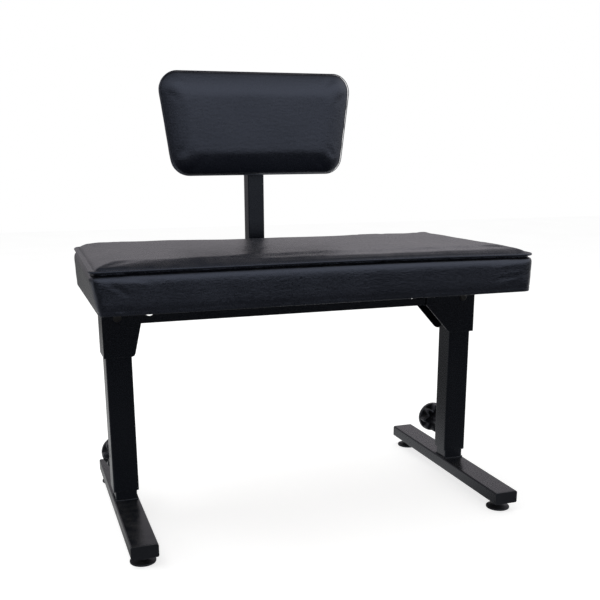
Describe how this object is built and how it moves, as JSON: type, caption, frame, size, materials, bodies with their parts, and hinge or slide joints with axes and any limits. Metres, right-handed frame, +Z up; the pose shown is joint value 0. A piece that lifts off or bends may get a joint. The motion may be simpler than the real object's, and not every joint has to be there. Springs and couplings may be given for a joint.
{
  "type": "folding keyboard bench",
  "caption": "Padded bench with a small backrest on a rear post, a channel rail under the seat and folding, telescoping T legs with star knobs and levelling feet.",
  "frame": {"origin": "floor, under the middle of the bounding box", "axes": "+Z up, +X to the right as seen from the front, +Y to the rear where the backrest is"},
  "size_m": [0.6704, 0.5036, 0.7101],
  "materials": {
    "black_powder_coat": "satin black powder coat",
    "black_vinyl": "grained black vinyl, soft sheen",
    "black_plastic": "moulded black, half matt",
    "foot_plastic": "black, matt",
    "zinc_steel": "zinc plated",
    "black_steel": "black oxide",
    "plywood": "plain plywood"
  },
  "bodies": {
    "base": {"cross_rail": "black_powder_coat", "left_cross_plate": "black_powder_coat", "right_cross_plate": "black_powder_coat", "seat_board": "plywood", "seat_cushion": "black_vinyl", "back_arm": "black_powder_coat", "back_socket": "black_powder_coat", "seat_screw_1": "zinc_steel", "seat_screw_2": "zinc_steel", "seat_screw_3": "zinc_steel", "seat_screw_4": "zinc_steel", "left_leg_bracket": "black_powder_coat", "left_lock_barrel": "zinc_steel", "left_pivot_bolt": "black_steel", "left_pivot_nut": "black_steel", "left_front_washer": "black_plastic", "left_rear_washer": "black_plastic", "right_leg_bracket": "black_powder_coat", "right_lock_barrel": "zinc_steel", "right_pivot_bolt": "black_steel", "right_pivot_nut": "black_steel", "right_front_washer": "black_plastic", "right_rear_washer": "black_plastic"},
    "left_lock": {"left_lock_pin": "black_steel"},
    "left_upper_leg": {"left_outer_leg": "black_powder_coat"},
    "left_screw": {"left_clamp_screw": "zinc_steel"},
    "left_knob": {"left_star_knob": "black_plastic"},
    "left_lower_leg": {"left_inner_leg": "black_powder_coat", "left_leg_glide": "black_plastic", "left_foot_bar": "black_powder_coat", "left_bar_front_cap": "black_plastic", "left_bar_rear_cap": "black_plastic"},
    "left_front_stem": {"left_front_foot_stem": "zinc_steel"},
    "left_front_foot": {"left_front_foot_pad": "foot_plastic"},
    "left_rear_stem": {"left_rear_foot_stem": "zinc_steel"},
    "left_rear_foot": {"left_rear_foot_pad": "foot_plastic"},
    "right_lock": {"right_lock_pin": "black_steel"},
    "right_upper_leg": {"right_outer_leg": "black_powder_coat"},
    "right_screw": {"right_clamp_screw": "zinc_steel"},
    "right_knob": {"right_star_knob": "black_plastic"},
    "right_lower_leg": {"right_inner_leg": "black_powder_coat", "right_leg_glide": "black_plastic", "right_foot_bar": "black_powder_coat", "right_bar_front_cap": "black_plastic", "right_bar_rear_cap": "black_plastic"},
    "right_front_stem": {"right_front_foot_stem": "zinc_steel"},
    "right_front_foot": {"right_front_foot_pad": "foot_plastic"},
    "right_rear_stem": {"right_rear_foot_stem": "zinc_steel"},
    "right_rear_foot": {"right_rear_foot_pad": "foot_plastic"},
    "back_screw": {"back_clamp_screw": "zinc_steel"},
    "back_knob": {"back_star_knob": "black_plastic"},
    "backrest": {"back_post": "black_powder_coat", "back_post_cap": "black_plastic", "back_plate": "black_powder_coat", "backrest_board": "plywood", "backrest_cushion": "black_vinyl", "back_screw_1": "black_steel", "back_screw_2": "black_steel", "back_screw_3": "black_steel", "back_screw_4": "black_steel"}
  },
  "joints": [
    {"name": "left_leg_fold", "type": "hinge", "parent": "base", "child": "left_upper_leg", "pos_m": [-0.2937, -0.0593, 0.331], "axis": [0, -1, 0], "range_deg": [0, 83]},
    {"name": "left_lock_pull", "type": "slide", "parent": "base", "child": "left_lock", "axis": [0, -1, 0], "range_m": [0, 0.005]},
    {"name": "left_height", "type": "slide", "parent": "left_upper_leg", "child": "left_lower_leg", "axis": [0, 0, 1], "range_m": [-0.125, 0.012]},
    {"name": "left_screw_travel", "type": "slide", "parent": "left_upper_leg", "child": "left_screw", "axis": [0, 1, 0], "range_m": [0, 0.0025]},
    {"name": "left_knob_turn", "type": "hinge", "parent": "left_screw", "child": "left_knob", "pos_m": [-0.2937, 0.0007, 0.089], "axis": [0, 1, 0], "range_deg": [0, 721]},
    {"name": "left_front_foot_travel", "type": "slide", "parent": "left_lower_leg", "child": "left_front_stem", "axis": [0, 0, -1], "range_m": [0, 0.005]},
    {"name": "left_front_foot_turn", "type": "hinge", "parent": "left_front_stem", "child": "left_front_foot", "pos_m": [-0.2937, -0.2273, 0.004], "axis": [0, 0, -1], "range_deg": [0, 1441]},
    {"name": "left_rear_foot_travel", "type": "slide", "parent": "left_lower_leg", "child": "left_rear_stem", "axis": [0, 0, -1], "range_m": [0, 0.005]},
    {"name": "left_rear_foot_turn", "type": "hinge", "parent": "left_rear_stem", "child": "left_rear_foot", "pos_m": [-0.2937, 0.1087, 0.004], "axis": [0, 0, -1], "range_deg": [0, 1441]},
    {"name": "right_leg_fold", "type": "hinge", "parent": "base", "child": "right_upper_leg", "pos_m": [0.2937, -0.0593, 0.331], "axis": [0, 1, 0], "range_deg": [0, 73]},
    {"name": "right_lock_pull", "type": "slide", "parent": "base", "child": "right_lock", "axis": [0, -1, 0], "range_m": [0, 0.005]},
    {"name": "right_height", "type": "slide", "parent": "right_upper_leg", "child": "right_lower_leg", "axis": [0, 0, 1], "range_m": [-0.125, 0.012]},
    {"name": "right_screw_travel", "type": "slide", "parent": "right_upper_leg", "child": "right_screw", "axis": [0, 1, 0], "range_m": [0, 0.0025]},
    {"name": "right_knob_turn", "type": "hinge", "parent": "right_screw", "child": "right_knob", "pos_m": [0.2937, 0.0007, 0.089], "axis": [0, 1, 0], "range_deg": [0, 721]},
    {"name": "right_front_foot_travel", "type": "slide", "parent": "right_lower_leg", "child": "right_front_stem", "axis": [0, 0, -1], "range_m": [0, 0.005]},
    {"name": "right_front_foot_turn", "type": "hinge", "parent": "right_front_stem", "child": "right_front_foot", "pos_m": [0.2937, -0.2273, 0.004], "axis": [0, 0, -1], "range_deg": [0, 1441]},
    {"name": "right_rear_foot_travel", "type": "slide", "parent": "right_lower_leg", "child": "right_rear_stem", "axis": [0, 0, -1], "range_m": [0, 0.005]},
    {"name": "right_rear_foot_turn", "type": "hinge", "parent": "right_rear_stem", "child": "right_rear_foot", "pos_m": [0.2937, 0.1087, 0.004], "axis": [0, 0, -1], "range_deg": [0, 1441]},
    {"name": "backrest_height", "type": "slide", "parent": "base", "child": "backrest", "axis": [0, 0, 1], "range_m": [0, 0.05]},
    {"name": "back_screw_travel", "type": "slide", "parent": "base", "child": "back_screw", "axis": [0, 1, 0], "range_m": [0, 0.0025]},
    {"name": "back_knob_turn", "type": "hinge", "parent": "back_screw", "child": "back_knob", "pos_m": [0, 0.2407, 0.366], "axis": [0, 1, 0], "range_deg": [0, 721]}
  ],
  "couplings": [
    {"joint": "left_knob_turn", "follows": "left_screw_travel", "rad_per_m": 5026.5},
    {"joint": "left_front_foot_turn", "follows": "left_front_foot_travel", "rad_per_m": 5026.5},
    {"joint": "left_rear_foot_turn", "follows": "left_rear_foot_travel", "rad_per_m": 5026.5},
    {"joint": "right_knob_turn", "follows": "right_screw_travel", "rad_per_m": 5026.5},
    {"joint": "right_front_foot_turn", "follows": "right_front_foot_travel", "rad_per_m": 5026.5},
    {"joint": "right_rear_foot_turn", "follows": "right_rear_foot_travel", "rad_per_m": 5026.5},
    {"joint": "back_knob_turn", "follows": "back_screw_travel", "rad_per_m": 5026.5}
  ]
}
